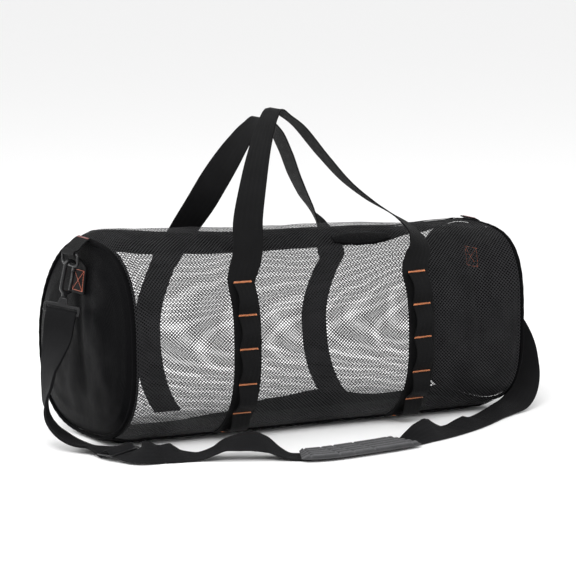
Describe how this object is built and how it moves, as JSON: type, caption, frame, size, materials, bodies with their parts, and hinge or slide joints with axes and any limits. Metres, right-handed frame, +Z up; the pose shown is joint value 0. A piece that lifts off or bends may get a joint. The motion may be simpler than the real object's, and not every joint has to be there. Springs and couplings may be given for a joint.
{
  "type": "mesh dive gear bag",
  "caption": "Long see-through net duffel with solid cloth ends and base, tall webbing handles, stepped lashing webbing and a clip-on padded shoulder strap.",
  "frame": {"origin": "middle of the flat face under the base panel, on the floor", "axes": "+X along the bag towards its right end as seen from the front, +Y from the front wall to the back wall, +Z up"},
  "size_m": [0.7512, 0.4419, 0.4298],
  "materials": {
    "net": "black knitted net, see-through, slightly shiny yarn",
    "cloth": "black coated woven cloth with a soft sheen",
    "webbing": "black woven webbing",
    "pad": "dark grey ribbed cloth",
    "plastic": "black moulded plastic, satin",
    "zip": "black zip teeth, satin"
  },
  "bodies": {
    "bag": {"mesh_front": "net", "mesh_back": "net", "base_panel": "cloth", "zip_tape_upper": "cloth", "zip_tape_lower": "cloth", "zip_teeth": "zip", "top_patch": "cloth", "end_panel_left": "cloth", "end_binding_left": "cloth", "end_panel_right": "cloth", "end_binding_right": "cloth", "handle_front": "webbing", "handle_back": "webbing", "daisy_chain_left": "webbing", "daisy_chain_right": "webbing", "end_tab_left": "webbing", "tab_ring_left": "plastic", "hook_body_left": "plastic", "hook_strap_loop_left": "plastic", "end_tab_right": "webbing", "tab_ring_right": "plastic", "hook_body_right": "plastic", "hook_strap_loop_right": "plastic", "shoulder_strap": "webbing", "strap_adjuster": "plastic", "shoulder_pad": "pad"},
    "gate_left": {"hook_gate_left": "plastic"},
    "gate_right": {"hook_gate_right": "plastic"}
  },
  "joints": [
    {"name": "gate_left_hinge", "type": "hinge", "parent": "bag", "child": "gate_left", "pos_m": [-0.31958, 0, 0.2023], "axis": [0, -1, 0], "range_deg": [0, 18], "stiffness_Nm_per_rad": 0.01},
    {"name": "gate_right_hinge", "type": "hinge", "parent": "bag", "child": "gate_right", "pos_m": [0.31958, 0, 0.1933], "axis": [0, 1, 0], "range_deg": [0, 18], "stiffness_Nm_per_rad": 0.01}
  ]
}
